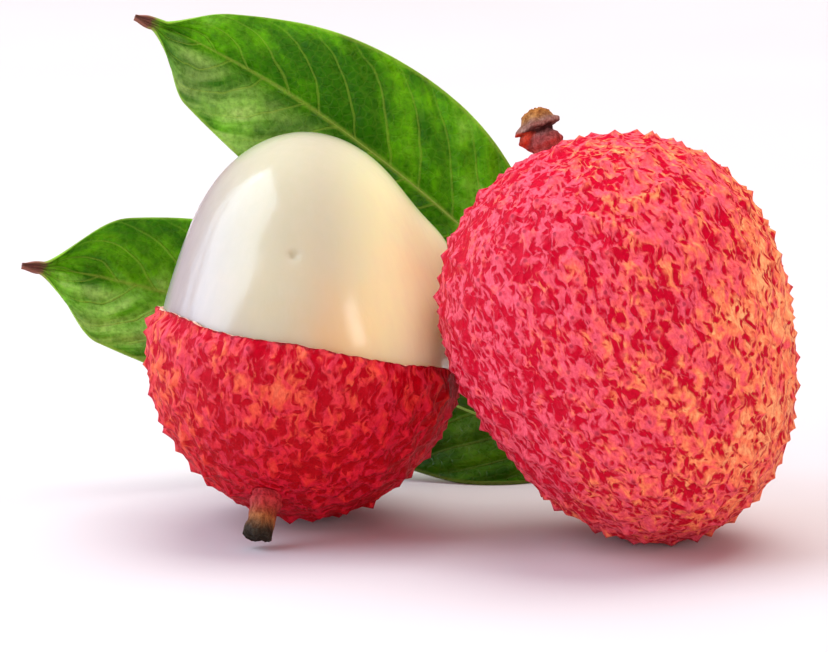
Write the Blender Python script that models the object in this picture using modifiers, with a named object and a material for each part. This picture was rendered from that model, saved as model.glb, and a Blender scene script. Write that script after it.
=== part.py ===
"""A bunch of lychees: a whole one, a half-peeled one and two leaves on their stalk.

Metres, +Z up, +X to the right and +Y to the back as the bunch is usually seen.
The bunch lies on the plane Z = 0. Places are given from the point where the whole fruit rests,
and one empty carries all pieces, so that the origin is under the middle of the bunch.
Lengths below are in millimetres and angles in degrees, unless a name says otherwise.
"""

import math
import random

import bmesh
import bpy
from mathutils import Matrix, Vector, noise

MM = 0.001
WELD_DISTANCE = 0.01 * MM
GAP = 0.3

# Fruit outlines: mean radius, then what the cosines of one, two, three and four times the angle
# from the stalk add. The tips of the bumps reach this radius.
WHOLE_OUTLINE = (18.45, 0.05, 1.80, -0.75)
FLESH_OUTLINE = (15.82, -0.83, 2.00, -0.76, 0.36)

# Leans of the fruit axes away from upright, to the right and to the back.
WHOLE_LEAN = (-20.5, 17.0)
PEELED_LEAN = (1.7, 14.0)
PEELED_STALK_LEAN = (13.0, 36.0)
RIM_LEAN = (12.9, 7.4)
PEELED_PLACE = (-30.65, 11.0)

# The flesh has a high shoulder on its right: its lean, height and spread.
SHOULDER_LEAN = (59.7, 28.0)
SHOULDER_HEIGHT = 2.37
SHOULDER_SPREAD = 17.0

# Bumps: how many would cover a whole fruit, and how high they stand.
WHOLE_BUMPS = 480
WHOLE_BUMP_HEIGHT = 0.95
PEELED_BUMPS = 420
PEELED_BUMP_HEIGHT = 0.80
BUMP_SHIFT = 0.17
BUMP_HEIGHT_RANGE = (0.70, 1.25)
BALD_ANGLE = 7.0
FULL_BUMP_ANGLE = 13.0

# Each fruit rests on a small flat spot: its radius, how high bumps are pressed down round it,
# and how far below the surface the lowest bump would reach unpressed.
SPOT_RADIUS = 3.6
SPOT_REACH = 2.0
WHOLE_SINK = 0.25
PEELED_SINK = -0.10

# The peeled fruit's rind is a wall under the bumps, round the flesh and its gap. Its rim has
# waves, each with a number round the fruit, a height and a start.
RIND_WALL = 0.65
CAVITY_GAP = 0.35
CAVITY_SEGMENTS = (40, 20)
FLESH_SEGMENTS = (40, 20)
RIM_WAVES = ((3, 0.16, -84.0), (6, 0.16, -92.0))
RIM_RADIUS = 15.0
PEEL_GUIDE_RADIUS = 26.0
PEEL_GUIDE_HEIGHT = 40.0
PEEL_GUIDE_SEGMENTS = 72

# Stalk stubs: radius and height of each point down the outer side, top to bottom.
WHOLE_STALK = (
    (0.9, 4.75), (1.45, 4.45), (1.75, 3.7), (2.35, 3.1), (2.3, 2.7), (1.55, 2.45),
    (1.5, 1.8), (1.95, 1.2), (2.1, 0.6), (1.75, 0.0),
)
PEELED_STALK = ((1.35, 4.1), (1.65, 3.8), (1.5, 2.6), (1.55, 1.3), (1.8, 0.4), (1.6, 0.0))
STALK_STEPS = 20
STALK_ROUGHNESS = 0.22
STALK_GRAIN = 1.4

# Leaves: the midrib from tip to base, and the blade each side of it.
UPPER_MIDRIB = (
    (-46.9, 27.0, 47.9), (-40.7, 30.5, 44.6), (-31.2, 33.5, 38.3),
    (-21.0, 34.0, 30.2), (-12.1, 31.5, 22.4), (-4.3, 29.2, 15.2),
)
LOWER_MIDRIB = (
    (-59.1, 26.0, 23.3), (-51.0, 30.5, 20.9), (-36.8, 34.5, 15.7),
    (-21.6, 33.3, 8.9), (-12.5, 29.6, 5.5), (-4.5, 27.4, 4.2),
)
UPPER_LEAF_WIDTHS = (10.0, 10.1)
LOWER_LEAF_WIDTHS = (9.6, 9.6)
UPPER_LEAF_FULLNESS = (0.90, 0.43)
LOWER_LEAF_FULLNESS = (0.42, 0.27)
WIDEST_SHIFT = 1.16
TIP_SHARE = 0.17
FULL_FOLD_WIDTH = 4.0
UPPER_LEAF_FOLD = (22.0, 24.0)
LOWER_LEAF_FOLD = (6.0, 30.0)
LEAF_FACING = (0.0, -0.98, 0.19)
LEAF_THICKNESS = 0.65
MIDRIB_THICKNESS = 1.05
LEAF_END_WIDTH = 0.55
LEAF_ARCH = 0.9
LEAF_WAVE = 0.45
LEAF_WAVES = 3.5
LEAF_STATIONS = 28
LEAF_COLUMNS = 5
LEAF_FLOOR = 0.36

# The leaves' common stalk, behind the whole fruit: each twig's places, first radius and last radius.
LEAF_STALK_TWIGS = (
    (((9.0, 24.0, 1.0), (6.0, 25.5, 6.0), (3.4, 26.5, 10.5), (2.0, 27.0, 14.5)), 1.3, 0.9),
    (((4.6, 25.9, 8.6), (0.8, 26.6, 6.2), (-3.6, 27.3, 4.4)), 0.9, 0.65),
    (((3.0, 26.6, 11.5), (0.0, 27.6, 12.8), (-3.8, 29.0, 14.8)), 0.9, 0.65),
)
TWIG_STEPS = 9
PATH_FINENESS = 40

# From the whole fruit's resting point to the middle of the bunch's footprint.
BUNCH_SHIFT = (21.42, -9.84)

COLOURS = {
    "rind": ((0.72, 0.07, 0.09), 0.45),
    "flesh": ((0.80, 0.74, 0.60), 0.22),
    "stalk": ((0.23, 0.11, 0.05), 0.80),
    "leaf": ((0.05, 0.20, 0.02), 0.38),
}


def material(name):
    """A plain finish with the piece's mean colour and roughness."""
    colour, roughness = COLOURS[name]
    made = bpy.data.materials.get(name) or bpy.data.materials.new(name)
    made.use_nodes = True
    shader = made.node_tree.nodes["Principled BSDF"]
    shader.inputs["Base Color"].default_value = (*colour, 1.0)
    shader.inputs["Roughness"].default_value = roughness
    shader.inputs["Metallic"].default_value = 0.0
    return made


def collection(name):
    made = bpy.data.collections.new(name)
    bpy.context.scene.collection.children.link(made)
    return made


def add_object(name, mesh, group, matrix=None, finish=None):
    """A named object in a collection, with its finish and its place."""
    made = bpy.data.objects.new(name, mesh)
    group.objects.link(made)
    if finish:
        mesh.materials.append(material(finish))
    if matrix:
        made.matrix_world = matrix
    return made


def mesh_from(bm, name):
    """Turn a bmesh into a mesh with its faces pointing out."""
    bmesh.ops.recalc_face_normals(bm, faces=bm.faces[:])
    mesh = bpy.data.meshes.new(name)
    bm.to_mesh(mesh)
    bm.free()
    mesh.shade_smooth()
    return mesh


def lean_direction(lean):
    """The unit vector that leans from upright to the right and then to the back."""
    right, back = (math.radians(angle) for angle in lean)
    return Vector((math.sin(right), math.cos(right) * math.sin(back), math.cos(right) * math.cos(back)))


def turn_to(direction):
    """A rotation that takes local +Z to a direction."""
    return direction.to_track_quat("Z", "Y").to_matrix().to_4x4()


def placed(centre, direction):
    return Matrix.Translation(centre) @ turn_to(direction)


def outline_radius(outline, angle):
    """Radius in metres at an angle from the stalk, from a short cosine series."""
    return MM * sum(part * math.cos(order * angle) for order, part in enumerate(outline))


def smooth_step(low, high, value):
    share = min(max((value - low) / (high - low), 0.0), 1.0)
    return share * share * (3.0 - 2.0 * share)


def spread_directions(count, seed):
    """Unit vectors spread evenly by the golden angle, each moved a little by a seeded draw."""
    draw = random.Random(seed)
    golden = math.pi * (3.0 - math.sqrt(5.0))
    shift = BUMP_SHIFT * math.sqrt(4.0 * math.pi / count)
    for index in range(count):
        height = 1.0 - 2.0 * (index + 0.5) / count
        ring = math.sqrt(1.0 - height * height)
        turn = golden * index
        point = Vector((ring * math.cos(turn), ring * math.sin(turn), height))
        yield (point + shift * Vector([draw.uniform(-1.0, 1.0) for _ in range(3)])).normalized()


def bumpy_fruit(outline, count, height, stalk_direction, seed):
    """A closed skin of low pyramids, one to each bump, with valleys where three bumps meet."""
    draw = random.Random(seed)
    bm = bmesh.new()
    for direction in spread_directions(count, seed):
        bm.verts.new(direction)
    bmesh.ops.convex_hull(bm, input=bm.verts[:])
    peaks = set(bm.verts)
    links = bm.edges[:]
    bmesh.ops.poke(bm, faces=bm.faces[:])
    bmesh.ops.rotate_edges(bm, edges=links)
    for vert in bm.verts:
        direction = vert.co.normalized()
        radius = outline_radius(outline, math.acos(direction.z)) - height * MM
        if vert in peaks:
            angle = math.degrees(direction.angle(stalk_direction))
            share = smooth_step(BALD_ANGLE, FULL_BUMP_ANGLE, angle)
            radius += share * draw.uniform(*BUMP_HEIGHT_RANGE) * height * MM
        vert.co = direction * radius
    return bm


def smooth_fruit(outline, extra, segments, shoulder_direction):
    """A round closed body with one high shoulder, for the flesh and for the rind's inside."""
    bm = bmesh.new()
    around, along = segments
    bmesh.ops.create_uvsphere(bm, u_segments=around, v_segments=along, radius=1.0)
    for vert in bm.verts:
        direction = vert.co.normalized()
        angle = math.acos(min(max(direction.z, -1.0), 1.0))
        away = math.degrees(direction.angle(shoulder_direction)) / SHOULDER_SPREAD
        rise = SHOULDER_HEIGHT * math.exp(-away * away)
        vert.co = direction * (outline_radius(outline, angle) + (extra + rise) * MM)
    return bm


def resting_height(bm, turn, sink):
    """How high the fruit's centre stands when its lowest bump would reach that far below the surface."""
    return -min((turn @ vert.co).z for vert in bm.verts) - sink * MM


def flatten_spot(bm, matrix):
    """Press the underside flat on Z = 0 in a small spot round the lowest point."""
    lowest = min((matrix @ vert.co for vert in bm.verts), key=lambda place: place.z)
    back = matrix.inverted()
    for vert in bm.verts:
        place = matrix @ vert.co
        near = (place - lowest).xy.length < SPOT_RADIUS * MM
        if (near and place.z < SPOT_REACH * MM) or place.z < 0.0:
            place.z = 0.0
            vert.co = back @ place


def welded_result(source):
    """The mesh that an object's curve or modifiers make, with its doubles merged. The object goes."""
    bpy.context.view_layer.update()
    mesh = bpy.data.meshes.new_from_object(source.evaluated_get(bpy.context.evaluated_depsgraph_get()))
    bpy.data.objects.remove(source)
    bm = bmesh.new()
    bm.from_mesh(mesh)
    bmesh.ops.remove_doubles(bm, verts=bm.verts[:], dist=WELD_DISTANCE)
    return bm


def turned_stub(name, profile, seed):
    """A broken stalk: a turned profile, roughened like bark."""
    outline = bpy.data.meshes.new(name + "_profile")
    top = profile[0][1]
    points = [(0.0, 0.0, top), *((radius, 0.0, height) for radius, height in profile), (0.0, 0.0, 0.0)]
    links = [(index, index + 1) for index in range(len(points) - 1)]
    outline.from_pydata([Vector(point) * MM for point in points], links, [])
    source = bpy.data.objects.new(name, outline)
    bpy.context.scene.collection.objects.link(source)
    screw = source.modifiers.new("Turn", "SCREW")
    screw.steps = screw.render_steps = STALK_STEPS
    screw.use_merge_vertices = True
    screw.merge_threshold = WELD_DISTANCE
    bm = welded_result(source)
    for vert in bm.verts:
        share = vert.co.z / (top * MM)
        grain = noise.noise(vert.co / (STALK_GRAIN * MM) + Vector((seed, 0.0, 0.0)))
        rough = share * grain * STALK_ROUGHNESS
        vert.co.xy *= 1.0 + rough / 2.0
        vert.co.z += rough * MM
    return mesh_from(bm, name)


def curve_point(ends, along):
    """The point on the smooth curve through a list of points, with one more point at each end."""
    span = min(int(along), len(ends) - 4)
    a, b, c, d = ends[span:span + 4]
    t = along - span
    slope = (c - a) * t
    bend = (2.0 * a - 5.0 * b + 4.0 * c - d) * t ** 2
    twist = (3.0 * b - a - 3.0 * c + d) * t ** 3
    return 0.5 * (2.0 * b + slope + bend + twist)


def smooth_path(points, steps):
    """Evenly spaced points on the smooth curve through the given ones."""
    ends = [points[0] * 2.0 - points[1], *points, points[-1] * 2.0 - points[-2]]
    fine = PATH_FINENESS * (len(points) - 1)
    dense = [curve_point(ends, index * (len(points) - 1) / fine) for index in range(fine + 1)]
    reached = [0.0]
    for low, high in zip(dense, dense[1:]):
        reached.append(reached[-1] + (high - low).length)
    path = []
    index = 0
    for step in range(steps + 1):
        wanted = reached[-1] * step / steps
        while index < fine - 1 and reached[index + 1] < wanted:
            index += 1
        share = (wanted - reached[index]) / (reached[index + 1] - reached[index])
        path.append(dense[index].lerp(dense[index + 1], share))
    return path


def half_width(share, width, fullness):
    """Half the blade's width at a share of the way from its tip to its base."""
    swell = max(math.sin(math.pi * share ** WIDEST_SHIFT), 0.0) ** fullness
    drawn_out = smooth_step(0.0, TIP_SHARE, share)
    return max(width * swell * drawn_out, LEAF_END_WIDTH) * MM


def leaf_point(path, station, column, widths, fullness, fold):
    """A point of the blade, which is folded along the midrib, arched and waved."""
    share = station / LEAF_STATIONS
    facing = Vector(LEAF_FACING).normalized()
    ahead = path[min(station + 1, LEAF_STATIONS)] - path[max(station - 1, 0)]
    across = facing.cross(ahead).normalized()
    across *= math.copysign(1.0, across.z)
    side = 0 if column > 0 else 1
    out = abs(column) / LEAF_COLUMNS
    width = half_width(share, widths[side], fullness[side])
    strength = min(width / (FULL_FOLD_WIDTH * MM), 1.0)
    angle = math.radians(fold[side]) * strength
    wave = out ** 2 * math.sin(2.0 * math.pi * LEAF_WAVES * share + side)
    arch = out * (1.0 - out) * strength
    reach = math.copysign(out * width * math.cos(angle), column)
    lift = out * width * math.sin(angle) + (LEAF_ARCH * arch + LEAF_WAVE * wave) * MM
    place = path[station] + reach * across + lift * facing
    below = max(LEAF_FLOOR * MM - place.z, 0.0)
    return place + Vector((0.0, -below, below))


def leaf_blade(name, midrib, widths, fullness, fold):
    """The blade's middle surface, and which of its points lie on the midrib."""
    path = smooth_path([Vector(point) * MM for point in midrib], LEAF_STATIONS)
    bm = bmesh.new()
    bmesh.ops.create_grid(bm, x_segments=LEAF_STATIONS, y_segments=2 * LEAF_COLUMNS, size=1.0)
    rib_points = []
    for vert in bm.verts:
        station = round((vert.co.x + 1.0) / 2.0 * LEAF_STATIONS)
        column = round(vert.co.y * LEAF_COLUMNS)
        if column == 0:
            rib_points.append(vert.index)
        vert.co = leaf_point(path, station, column, widths, fullness, fold)
    bmesh.ops.triangulate(bm, faces=bm.faces[:])
    return mesh_from(bm, name), rib_points


def add_leaf(name, group, midrib, widths, fullness, fold):
    """A leaf of even thickness, thicker along its midrib."""
    mesh, rib_points = leaf_blade(name, midrib, widths, fullness, fold)
    leaf = add_object(name, mesh, group, finish="leaf")
    rib = leaf.vertex_groups.new(name="midrib")
    rib.add(rib_points, 1.0, "REPLACE")
    wall = leaf.modifiers.new("Thickness", "SOLIDIFY")
    wall.thickness = MIDRIB_THICKNESS * MM
    wall.offset = 0.0
    wall.vertex_group = rib.name
    wall.thickness_vertex_group = LEAF_THICKNESS / MIDRIB_THICKNESS
    return leaf


def twig_mesh(name, places, first, last):
    """A round twig with closed ends, which tapers evenly from its first radius to its last."""
    curve = bpy.data.curves.new(name, "CURVE")
    curve.dimensions = "3D"
    curve.bevel_depth = MM
    curve.bevel_resolution = 2
    curve.use_fill_caps = True
    path = smooth_path([Vector(place) * MM for place in places], TWIG_STEPS)
    spline = curve.splines.new("POLY")
    spline.points.add(TWIG_STEPS)
    for step, (point, place) in enumerate(zip(spline.points, path)):
        point.co = (*place, 1.0)
        point.radius = first + (last - first) * step / TWIG_STEPS
    source = bpy.data.objects.new(name, curve)
    bpy.context.scene.collection.objects.link(source)
    return mesh_from(welded_result(source), name)


def add_guide(name, mesh, group, matrix=None):
    """A cutter, shown as wire and left out of the parts."""
    guide = add_object(name, mesh, group, matrix)
    guide.hide_render = True
    guide.display_type = "WIRE"
    return guide


def cut(target, guide, operation="DIFFERENCE"):
    boolean = target.modifiers.new(guide.name, "BOOLEAN")
    boolean.operation = operation
    boolean.object = guide


def add_whole_fruit(group):
    """The whole lychee and its stalk."""
    direction = lean_direction(WHOLE_LEAN)
    bm = bumpy_fruit(WHOLE_OUTLINE, WHOLE_BUMPS, WHOLE_BUMP_HEIGHT, Vector((0.0, 0.0, 1.0)), seed=3)
    turn = turn_to(direction)
    matrix = Matrix.Translation((0.0, 0.0, resting_height(bm, turn, WHOLE_SINK))) @ turn
    flatten_spot(bm, matrix)
    add_object("whole_fruit", mesh_from(bm, "whole_fruit"), group, matrix, "rind")
    foot = outline_radius(WHOLE_OUTLINE, 0.0) + (GAP - WHOLE_BUMP_HEIGHT) * MM
    stalk_place = matrix @ Matrix.Translation((0.0, 0.0, foot))
    add_object("whole_stalk", turned_stub("whole_stalk", WHOLE_STALK, 5), group, stalk_place, "stalk")


def peel_guide_mesh():
    """A round block above the torn rim, its lower side waved round the fruit."""
    bm = bmesh.new()
    radius = PEEL_GUIDE_RADIUS * MM
    bmesh.ops.create_cone(bm, cap_ends=True, cap_tris=True, segments=PEEL_GUIDE_SEGMENTS,
                          radius1=radius, radius2=radius, depth=PEEL_GUIDE_HEIGHT * MM)
    bmesh.ops.translate(bm, verts=bm.verts[:], vec=(0.0, 0.0, PEEL_GUIDE_HEIGHT * MM / 2.0))
    for vert in bm.verts:
        if vert.co.z < MM and vert.co.xy.length > MM:
            turn = math.atan2(vert.co.y, vert.co.x)
            wave = 0.0
            for lobes, size, start in RIM_WAVES:
                wave += size * math.sin(lobes * turn + math.radians(start))
            vert.co.z = wave * MM * PEEL_GUIDE_RADIUS / RIM_RADIUS
    return mesh_from(bm, "peel_guide")


def add_peeled_fruit(group, guides):
    """The half-peeled lychee: a rind cup, the flesh that stands out of it, and its stalk stub."""
    down = -lean_direction(PEELED_LEAN)
    stalk_direction = -lean_direction(PEELED_STALK_LEAN)
    turn = turn_to(down)
    rind_outline = list(FLESH_OUTLINE)
    rind_outline[0] += CAVITY_GAP + RIND_WALL + PEELED_BUMP_HEIGHT
    local_stalk = (turn.inverted() @ stalk_direction).normalized()
    bm = bumpy_fruit(rind_outline, PEELED_BUMPS, PEELED_BUMP_HEIGHT, local_stalk, seed=8)
    centre = Vector((PEELED_PLACE[0] * MM, PEELED_PLACE[1] * MM, resting_height(bm, turn, PEELED_SINK)))
    matrix = Matrix.Translation(centre) @ turn
    flatten_spot(bm, matrix)
    rind = add_object("peeled_rind", mesh_from(bm, "peeled_rind"), group, matrix, "rind")
    shoulder = turn.inverted() @ lean_direction(SHOULDER_LEAN)
    cavity = mesh_from(smooth_fruit(FLESH_OUTLINE, CAVITY_GAP, CAVITY_SEGMENTS, shoulder), "cavity_guide")
    peel_frame = placed(centre, lean_direction(RIM_LEAN))
    peel_frame = placed(centre, lean_direction(RIM_LEAN))
    cut(rind, add_guide("cavity_guide", cavity, guides, matrix))
    cut(rind, add_guide("peel_guide", peel_guide_mesh(), guides, peel_frame))
    flesh = mesh_from(smooth_fruit(FLESH_OUTLINE, 0.0, FLESH_SEGMENTS, shoulder), "peeled_flesh")
    add_object("peeled_flesh", flesh, group, matrix, "flesh")
    foot = outline_radius(rind_outline, math.acos(local_stalk.z)) + (GAP - PEELED_BUMP_HEIGHT) * MM
    stalk_place = placed(centre + foot * stalk_direction, stalk_direction)
    add_object("peeled_stalk", turned_stub("peeled_stalk", PEELED_STALK, 9), group, stalk_place, "stalk")


def add_leaf_stalk(group, guides):
    """The leaves' common stalk: one twig with a short side twig to each leaf."""
    main, *sides = LEAF_STALK_TWIGS
    stalk = add_object("leaf_stalk", twig_mesh("leaf_stalk", *main), group, finish="stalk")
    for number, side in enumerate(sides, 1):
        name = f"side_twig_guide_{number}"
        cut(stalk, add_guide(name, twig_mesh(name, *side), guides), "UNION")


def carry_all(groups):
    """Parent every piece to one empty that brings the bunch's middle to the origin."""
    middle = bpy.data.objects.new("bunch_middle", None)
    bpy.context.scene.collection.objects.link(middle)
    for group in groups:
        for piece in group.objects:
            piece.parent = middle
    middle.location = (BUNCH_SHIFT[0] * MM, BUNCH_SHIFT[1] * MM, 0.0)


def main():
    for old in list(bpy.data.objects):
        bpy.data.objects.remove(old)
    group = collection("lychee_bunch")
    guides = collection("guides")
    add_whole_fruit(group)
    add_peeled_fruit(group, guides)
    add_leaf("leaf_upper", group, UPPER_MIDRIB, UPPER_LEAF_WIDTHS, UPPER_LEAF_FULLNESS, UPPER_LEAF_FOLD)
    add_leaf("leaf_lower", group, LOWER_MIDRIB, LOWER_LEAF_WIDTHS, LOWER_LEAF_FULLNESS, LOWER_LEAF_FOLD)
    add_leaf_stalk(group, guides)
    carry_all((group, guides))


main()
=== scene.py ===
"""The looks of a bunch of lychees: bumpy rinds, wet flesh, broken stalks and waxy leaves.

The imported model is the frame, and each piece here stands where its node stands.
Constants are in millimetres and degrees, settings and meshes in metres, with +Z up.
"""
import math
import random

import bmesh
import bpy
from bpy.props import FloatProperty, FloatVectorProperty, IntProperty, PointerProperty
from mathutils import Matrix, Vector, noise


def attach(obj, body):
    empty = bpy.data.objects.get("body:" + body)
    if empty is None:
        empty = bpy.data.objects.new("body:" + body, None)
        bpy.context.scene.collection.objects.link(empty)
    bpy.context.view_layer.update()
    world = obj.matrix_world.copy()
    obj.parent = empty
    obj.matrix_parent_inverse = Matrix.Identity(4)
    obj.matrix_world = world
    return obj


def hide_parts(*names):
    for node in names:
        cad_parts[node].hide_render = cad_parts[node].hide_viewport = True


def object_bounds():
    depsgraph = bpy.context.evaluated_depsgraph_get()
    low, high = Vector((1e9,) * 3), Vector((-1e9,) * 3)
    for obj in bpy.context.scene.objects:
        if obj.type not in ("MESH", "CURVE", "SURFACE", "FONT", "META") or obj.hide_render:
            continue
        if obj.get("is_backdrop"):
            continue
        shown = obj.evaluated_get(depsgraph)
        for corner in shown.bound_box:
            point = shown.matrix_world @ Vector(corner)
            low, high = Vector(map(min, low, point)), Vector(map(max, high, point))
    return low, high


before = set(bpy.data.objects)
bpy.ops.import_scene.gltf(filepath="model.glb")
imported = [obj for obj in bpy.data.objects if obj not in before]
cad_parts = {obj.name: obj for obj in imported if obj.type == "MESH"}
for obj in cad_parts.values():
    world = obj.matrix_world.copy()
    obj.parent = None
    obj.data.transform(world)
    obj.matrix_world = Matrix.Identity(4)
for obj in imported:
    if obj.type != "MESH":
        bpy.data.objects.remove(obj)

bl_info = {
    "name": "Lychee bunch",
    "version": (1, 0, 0),
    "blender": (4, 5, 0),
    "location": "3D View > Sidebar > Lychees",
    "description": "Builds a whole lychee, a half-peeled one, their leaves and a pale studio",
    "category": "Object",
}

MM = 0.001

# Fruit outlines: mean radius, then what the cosines of one, two, three and four times the angle
# from the stalk add. The tips of the bumps reach this radius.
WHOLE_OUTLINE = (18.45, 0.05, 1.80, -0.75)
FLESH_OUTLINE = (15.82, -0.83, 2.00, -0.76, 0.36)
WHOLE_CENTRE = (21.42, -9.84, 19.83)
PEELED_CENTRE = (-9.23, 1.16, 18.15)

# Leans of the fruit axes away from upright, to the right and to the back.
WHOLE_LEAN = (-20.5, 17.0)
PEELED_LEAN = (1.7, 14.0)
PEELED_STALK_LEAN = (13.0, 36.0)
RIM_LEAN = (12.9, 7.4)

# The flesh has a high shoulder on its right: its lean, height and spread.
SHOULDER_LEAN = (59.7, 28.0)
SHOULDER_HEIGHT = 2.37
SHOULDER_SPREAD = 17.0

# Bumps: how many would cover a whole fruit, and how they thin out towards the stalk.
WHOLE_BUMPS = 480
PEELED_BUMPS = 420
BUMP_SHIFT = 0.17
BUMP_HEIGHT_RANGE = (0.70, 1.25)
BALD_ANGLE = 7.0
FULL_BUMP_ANGLE = 13.0

# The peeled rind: its wall, the gap inside it, and the waves and tears of its rim.
RIND_WALL = 0.65
CAVITY_GAP = 0.35
SHOWN_GAP = 0.12
CAVITY_SEGMENTS = (120, 60)
RIM_WAVES = ((3, 0.16, -84.0), (6, 0.16, -92.0))
RIM_THINNING = 0.72
RIM_THINNING_REACH = 2.0
RIM_TEAR = 0.16
RIM_TEAR_GRAIN = 1.3
RIM_RADIUS = 15.0
PEEL_GUIDE_RADIUS = 26.0
PEEL_GUIDE_HEIGHT = 40.0
PEEL_GUIDE_SEGMENTS = 480

# The flesh has soft hollows and one small dimple on the side that faces the viewer.
FLESH_SEGMENTS = (192, 128)
FLESH_HOLLOW_DEPTH = 0.22
FLESH_HOLLOW_GRAIN = 9.0
DIMPLE_DIRECTION = (-0.045, -0.717, 0.695)
DIMPLE_DEPTH = 0.45
DIMPLE_SPREAD = 1.7

# Places where the flesh swells: direction, height and spread. The second bulges over the rim.
FLESH_SWELLS = (((-0.10, -0.20, 0.97), 0.40, 34.0), ((0.985, -0.02, -0.12), 1.25, 10.0))

# Stalk stubs: radius and height of each point up the outer side, from the fruit to the broken end.
WHOLE_STALK = (
    (1.5, 0.0), (1.7, 0.5), (1.45, 1.1), (1.05, 1.6), (1.1, 1.95), (1.9, 2.15),
    (2.0, 2.5), (1.5, 3.0), (1.35, 3.5), (0.9, 3.85),
)
PEELED_STALK = ((1.45, 0.0), (1.6, 0.4), (1.35, 1.3), (1.3, 2.6), (1.45, 3.8), (1.2, 4.05))
STALK_GAP = 0.3
STALK_SINK = 0.5
STALK_AROUND = 72
STALK_RINGS = 60

# Leaves: the midrib from tip to base, and the blade each side of it, from the point where
# the whole fruit rests.
BUNCH_SHIFT = (21.42, -9.84, 0.0)
UPPER_LEAF = {
    "midrib": ((-46.9, 27.0, 47.9), (-40.7, 30.5, 44.6), (-31.2, 33.5, 38.3),
               (-21.0, 34.0, 30.2), (-12.1, 31.5, 22.4), (-4.3, 29.2, 15.2)),
    "widths": (10.0, 10.1), "fullness": (0.90, 0.43), "fold": (22.0, 24.0),
}
LOWER_LEAF = {
    "midrib": ((-59.1, 26.0, 23.3), (-51.0, 30.5, 20.9), (-36.8, 34.5, 15.7),
               (-21.6, 33.3, 8.9), (-12.5, 29.6, 5.5), (-4.5, 27.4, 4.2)),
    "widths": (9.6, 9.6), "fullness": (0.42, 0.27), "fold": (6.0, 30.0),
}
WIDEST_SHIFT = 1.16
TIP_SHARE = 0.17
FULL_FOLD_WIDTH = 4.0
LEAF_FACING = (0.0, -0.98, 0.19)
LEAF_END_WIDTH = 0.55
LEAF_POINT_SHARE = 0.45
LEAF_POINT_REACH = 0.03
LEAF_ARCH = 0.9
LEAF_WAVE = 0.45
LEAF_WAVES = 3.5
LEAF_FLOOR = 0.22
LEAF_STATIONS = 168
LEAF_COLUMNS = 18
SLOPE_STATIONS = 6
LEAF_SIZE = (60.0, 20.0)

# Side veins: how many to a leaf, how far they lean to the tip, and the blade's swell between them.
SIDE_VEINS = 13.0
VEIN_LEAN = (0.10, 0.08)
VEIN_SWELL = 0.16
MIDRIB_RADII = (0.09, 0.32)
RIB_SIDES = 10

# The leaves' common stalk: each twig's places, first radius and last radius.
LEAF_STALK_TWIGS = (
    (((9.0, 24.0, 1.0), (6.0, 25.5, 6.0), (3.4, 26.5, 10.5), (2.0, 27.0, 14.5)), 1.3, 0.9),
    (((4.6, 25.9, 8.6), (0.8, 26.6, 6.2), (-3.6, 27.3, 4.4), (-4.9, 27.4, 4.2)), 0.9, 0.6),
    (((3.0, 26.6, 11.5), (0.0, 27.6, 12.8), (-3.8, 29.0, 14.8), (-4.8, 29.3, 15.6)), 0.9, 0.6),
)
TWIG_STEPS = 48
TWIG_SIDES = 24
PATH_FINENESS = 40

# The view: the point looked at, and the studio's floor.
VIEW_TARGET = (1.41, -9.58, 21.05)
FLOOR_SIZE = 6000.0
CLIP_START = 10.0

# Node socket types, and the type in which a node group gives each kind of value.
VECTOR, COLOUR = "NodeSocketVector", "NodeSocketColor"
GEOMETRY, MATERIAL = "NodeSocketGeometry", "NodeSocketMaterial"
GIVEN_AS = {"VALUE": "NodeSocketFloat", "VECTOR": VECTOR, "RGBA": COLOUR, "GEOMETRY": GEOMETRY}

# The looks of each rind: how fine its net is, the share of hollows, and a mean and a direction
# for how orange it is and for its painted shade, which darkens the rind towards the floor and, on
# the peeled fruit, towards the whole fruit's shadow on its right.
WHOLE_LOOKS = {"fineness": 1.25, "hollow_share": 0.525,
               "warmth": (0.40, (0.72, 0.0, 0.0)), "darkness": (0.0, (0.08, 0.0, -0.30))}
PEELED_LOOKS = {"fineness": 1.10, "hollow_share": 0.54,
                "warmth": (0.36, (-0.05, 0.0, 0.2)), "darkness": (0.56, (0.22, 0.0, -0.68))}

# Tones, which are multiplied with a colour. A pair is the darkest and the lightest.
WHITE = (1.0, 1.0, 1.0, 1.0)
RIDGE_TONES = ((0.86, 0.64, 0.70, 1.0), (1.08, 1.22, 1.16, 1.0))
HOLLOW_TONES = ((0.62, 0.5, 0.5, 1.0), (1.3, 1.5, 1.5, 1.0))
# Painted shade: the tone that darkens a rind's shaded side.
PAINTED_SHADE_TONE = (0.70, 0.10, 0.22, 1.0)
PITH_BLUSH = (0.95, 0.50, 0.48, 1.0)
BARK_SHADOW = (0.45, 0.36, 0.34, 1.0)
FRECKLE_TONES = ((0.72, 0.78, 0.70, 1.0), (1.25, 1.2, 1.3, 1.0))
# Painted shade: the lower leaf darkens towards its base, which lies in the fruits' shadow.
SHADED_LEAF_BASE = (0.42, 0.32, 0.44, 1.0)
FLOOR_TONE = (0.985, 0.985, 0.985, 1.0)

# Linear colours that no setting changes.
FIBRE_COLOUR = (0.72, 0.60, 0.46, 1.0)
DEAD_TIP_COLOUR = (0.20, 0.07, 0.05, 1.0)
RIB_SHADE = (0.20, 0.36, 0.05, 1.0)
DAYLIGHT_COLOUR = (1.0, 0.56, 0.68, 1.0)

# A blade's side: how much its veins and edge show, its roughness and the depth of its relief.
UPPER_LOOKS = (0.30, 0.45, 0.30, 0.55)
UNDER_LOOKS = (0.55, 0.4, 0.55, 0.5)

# Depths of the relief that only the finish shows.
RIND_RELIEF = 0.16
PITH_RELIEF = 0.06
FIBRE_RELIEF = 0.05
BARK_RELIEF = 0.35
RIB_RELIEF = 0.05

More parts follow.
